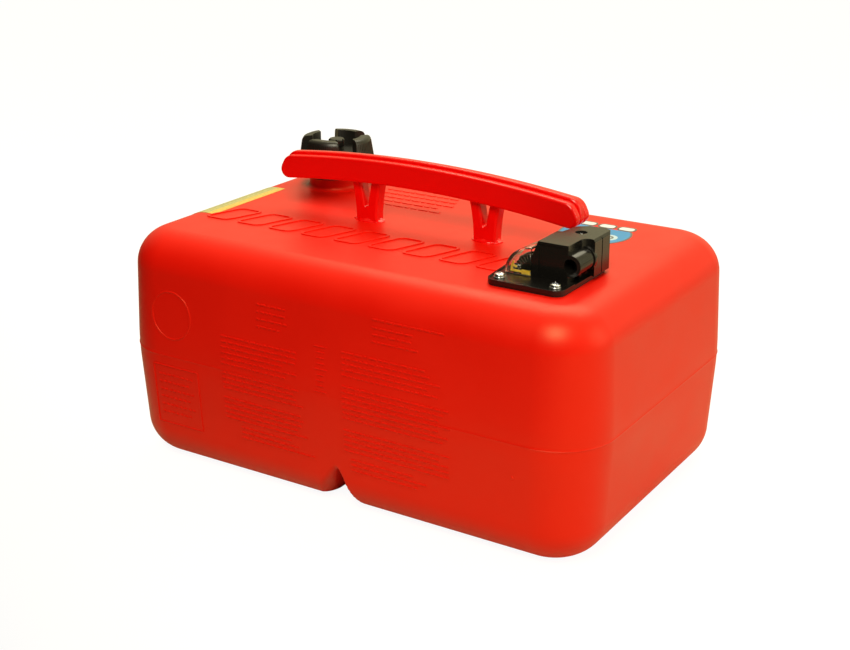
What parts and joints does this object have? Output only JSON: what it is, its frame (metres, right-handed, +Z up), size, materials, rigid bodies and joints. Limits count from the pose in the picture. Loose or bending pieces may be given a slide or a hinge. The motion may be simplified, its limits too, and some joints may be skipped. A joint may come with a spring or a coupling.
{
  "type": "outboard fuel tank",
  "caption": "Portable fuel tank for an outboard engine, with carrying handle, vented screw cap, float gauge and outlet head.",
  "frame": {"origin": "middle of the underside, on the ground plane", "axes": "+X along the tank's length towards the outlet head, +Y to the back, towards the filler, +Z up"},
  "size_m": [0.481, 0.308, 0.279],
  "materials": {
    "tank_plastic": "satin blow-moulded polyethylene",
    "handle_plastic": "glossy injection-moulded plastic",
    "black_plastic": "glossy moulded plastic",
    "cap_plastic": "satin moulded plastic",
    "clear_plastic": "clear moulded plastic",
    "needle_plastic": "yellow moulded plastic",
    "screw_steel": "plated steel",
    "arm_steel": "drawn stainless wire",
    "insert_brass": "turned brass",
    "seal_rubber": "fuel-proof rubber",
    "float_foam": "closed-cell nitrile foam",
    "tube_plastic": "natural nylon",
    "strainer_plastic": "white nylon",
    "label_yellow": "printed film",
    "label_blue": "printed film",
    "label_white": "printed film"
  },
  "bodies": {
    "tank": {"tank_body": "tank_plastic", "handle": "handle_plastic", "thread_inserts": "insert_brass", "outlet_gasket": "seal_rubber", "outlet_plate": "black_plastic", "outlet_head": "black_plastic", "outlet_washers": "screw_steel", "outlet_screws": "screw_steel", "lens_seal": "seal_rubber", "gauge_lens": "clear_plastic", "gauge_dial": "black_plastic", "pickup_tube": "tube_plastic", "pickup_strainer": "strainer_plastic", "edge_label": "label_yellow", "round_decal": "label_blue", "cell_decal": "label_white"},
    "gauge": {"needle_shaft": "arm_steel", "gauge_needle": "needle_plastic", "float_arm": "arm_steel", "gauge_float": "float_foam", "float_clip": "arm_steel"},
    "cap_ring": {"cap_gasket": "seal_rubber"},
    "cap": {"cap_shell": "cap_plastic"},
    "vent_ring": {"vent_seal": "seal_rubber"},
    "vent": {"vent_screw": "cap_plastic"}
  },
  "joints": [
    {"name": "gauge_swing", "type": "hinge", "parent": "tank", "child": "gauge", "pos_m": [0.151, -0.072, 0.224], "axis": [0, 1, 0], "range_deg": [0, 57]},
    {"name": "cap_rise", "type": "slide", "parent": "tank", "child": "cap_ring", "axis": [0, 0, 1], "range_m": [0, 0.015]},
    {"name": "cap_turn", "type": "hinge", "parent": "cap_ring", "child": "cap", "pos_m": [-0.1595, 0.088, 0.23], "axis": [0, 0, 1], "range_deg": [0, 1080]},
    {"name": "vent_rise", "type": "slide", "parent": "cap", "child": "vent_ring", "axis": [0, 0, 1], "range_m": [0, 0.003]},
    {"name": "vent_turn", "type": "hinge", "parent": "vent_ring", "child": "vent", "pos_m": [-0.1595, 0.088, 0.26], "axis": [0, 0, 1], "range_deg": [0, 720]}
  ],
  "couplings": [
    {"joint": "cap_turn", "follows": "cap_rise", "rad_per_m": 1256.6},
    {"joint": "vent_turn", "follows": "vent_rise", "rad_per_m": 4188.8}
  ]
}
